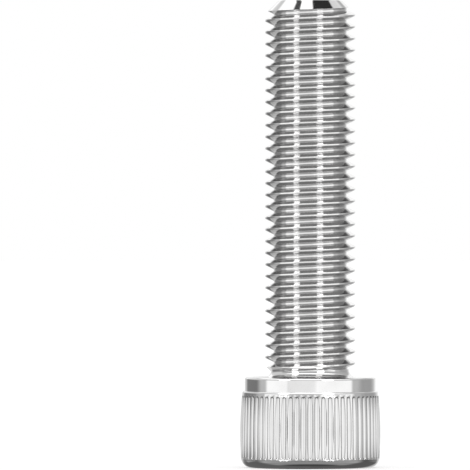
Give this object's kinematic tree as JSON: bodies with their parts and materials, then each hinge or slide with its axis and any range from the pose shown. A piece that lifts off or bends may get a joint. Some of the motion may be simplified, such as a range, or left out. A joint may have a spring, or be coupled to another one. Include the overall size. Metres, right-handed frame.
{
  "type": "socket head cap screw",
  "caption": "Polished steel socket head cap screw with a knurled round head, a hexagon socket and a coarse thread along the whole shank, standing on its head.",
  "frame": {"origin": "centre of the head's end face, where the socket opens and on which the screw stands", "axes": "+Z along the screw's axis, from the head's end face to the tip of the shank; X and Y across the axis, with the socket's corners on X and its flats facing Y"},
  "size_m": [0.0242, 0.0242, 0.0806],
  "materials": {
    "steel": "polished"
  },
  "bodies": {
    "root": {"cap_screw": "steel"}
  },
  "joints": []
}
